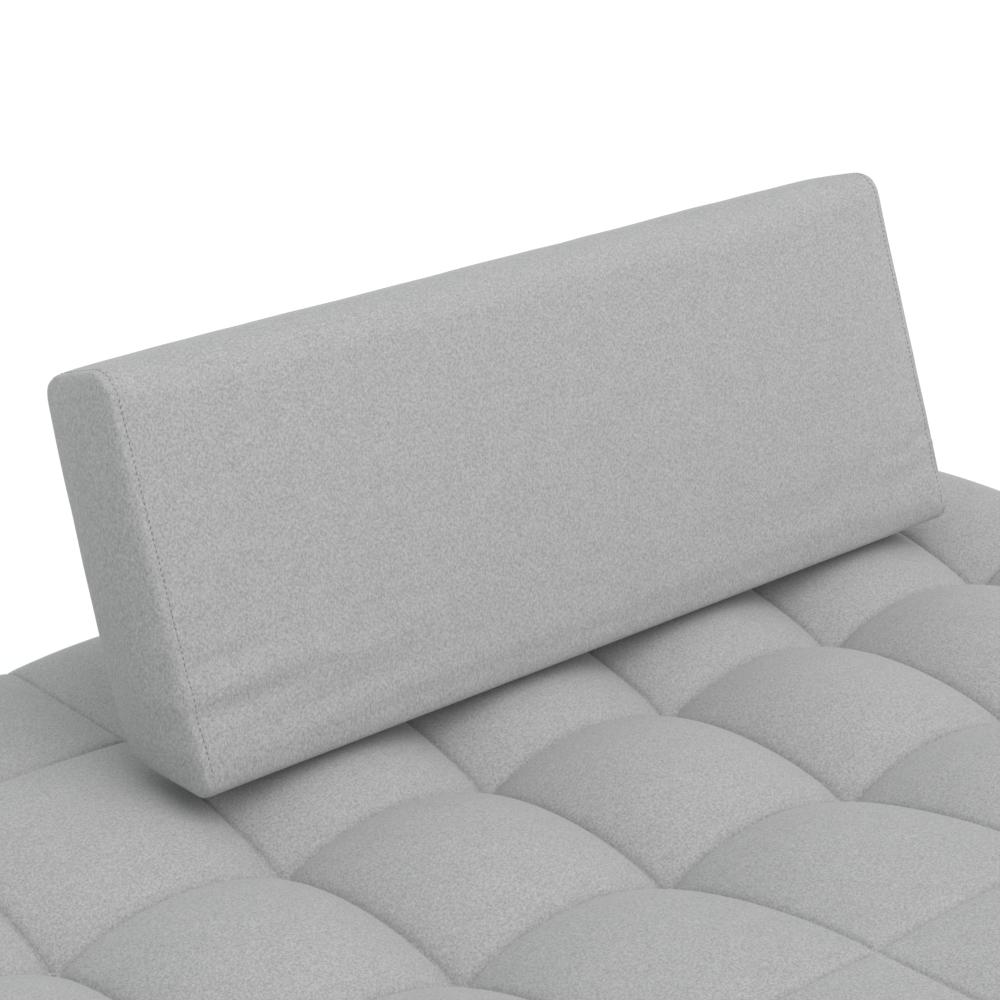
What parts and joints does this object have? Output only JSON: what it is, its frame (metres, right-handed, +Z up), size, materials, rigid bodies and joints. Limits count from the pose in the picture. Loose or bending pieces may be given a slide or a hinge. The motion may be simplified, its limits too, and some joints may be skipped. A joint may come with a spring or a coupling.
{
  "type": "daybed",
  "caption": "Upholstered daybed: a deep-tufted mattress on a slatted timber base with tapered legs, and a loose leaning backrest cushion standing on it.",
  "frame": {"origin": "on the floor, under the middle of the footprint", "axes": "+X along the length towards the end beside the backrest, +Y from the open front to the back edge, +Z up"},
  "size_m": [2, 0.95, 0.7322],
  "materials": {
    "oak": "oiled oak",
    "zinc_steel": "zinc plated",
    "pine": "planed pine",
    "beech": "planed beech",
    "brass": "plain",
    "foot_steel": "satin",
    "nylon": "matte",
    "foam": "open-cell foam",
    "felt": "matte melange felt",
    "lining": "matte",
    "twine": "matte",
    "zip_tape": "matte",
    "zip_metal": "satin",
    "plywood": "plain",
    "ballast": "matte",
    "grip": "matte"
  },
  "bodies": {
    "base": {"beam_hangers": "zinc_steel", "centre_beam": "pine", "centre_leg_1": "oak", "centre_leg_2": "oak", "connector_bolts": "zinc_steel", "corner_block_1": "pine", "corner_block_2": "pine", "corner_block_3": "pine", "corner_block_4": "pine", "foot_inserts": "brass", "leg_1": "oak", "leg_2": "oak", "leg_3": "oak", "leg_4": "oak", "leg_glides": "nylon", "leg_plates": "zinc_steel", "leg_studs": "zinc_steel", "rail_back": "oak", "rail_foot": "oak", "rail_front": "oak", "rail_head": "oak", "short_screws": "zinc_steel", "slat_01": "beech", "slat_02": "beech", "slat_03": "beech", "slat_04": "beech", "slat_05": "beech", "slat_06": "beech", "slat_07": "beech", "slat_08": "beech", "slat_09": "beech", "slat_10": "beech", "slat_11": "beech", "slat_ledger_back": "pine", "slat_ledger_front": "pine", "slat_screws": "zinc_steel"},
    "centre_foot_1": {"centre_foot_1": "foot_steel"},
    "centre_foot_2": {"centre_foot_2": "foot_steel"},
    "mattress": {"mattress_core": "foam", "mattress_side_band": "felt", "mattress_top_cover": "felt", "mattress_underside": "lining", "mattress_zip_tape": "zip_tape", "tuft_twines": "twine", "tuft_washers": "zinc_steel"},
    "mattress_zip_slider": {"mattress_zip_slider": "zip_metal"},
    "mattress_zip_pull": {"mattress_zip_pull": "zip_metal"},
    "backrest": {"backrest_batten": "pine", "backrest_board": "plywood", "backrest_end_left": "felt", "backrest_end_right": "felt", "backrest_foam": "foam", "backrest_grip": "grip", "backrest_wrap": "felt", "backrest_zip_tape": "zip_tape", "ballast_plate": "ballast", "ballast_screws": "zinc_steel"},
    "backrest_zip_slider": {"backrest_zip_slider": "zip_metal"},
    "backrest_zip_pull": {"backrest_zip_pull": "zip_metal"}
  },
  "joints": [
    {"name": "centre_foot_1_screw", "type": "slide", "parent": "base", "child": "centre_foot_1", "axis": [0, 0, -1], "range_m": [0, 0.012]},
    {"name": "centre_foot_2_screw", "type": "slide", "parent": "base", "child": "centre_foot_2", "axis": [0, 0, -1], "range_m": [0, 0.012]},
    {"name": "mattress_lift", "type": "slide", "parent": "base", "child": "mattress", "axis": [0, 0, 1], "range_m": [0, 0.3]},
    {"name": "mattress_zip", "type": "slide", "parent": "mattress", "child": "mattress_zip_slider", "axis": [-1, 0, 0], "range_m": [0, 1.682]},
    {"name": "mattress_zip_pull_hinge", "type": "hinge", "parent": "mattress_zip_slider", "child": "mattress_zip_pull", "pos_m": [0.841, 0.47355, 0.2903], "axis": [0, 0, -1], "range_deg": [0, 170]},
    {"name": "backrest_lift", "type": "slide", "parent": "mattress", "child": "backrest", "axis": [0, 0, 1], "range_m": [0, 0.3]},
    {"name": "backrest_zip", "type": "slide", "parent": "backrest", "child": "backrest_zip_slider", "axis": [-1, 0, 0], "range_m": [0, 0.588]},
    {"name": "backrest_zip_pull_hinge", "type": "hinge", "parent": "backrest_zip_slider", "child": "backrest_zip_pull", "pos_m": [0.756, 0.25052, 0.49255], "axis": [0, -0.3057, -0.9521], "range_deg": [0, 170]}
  ]
}
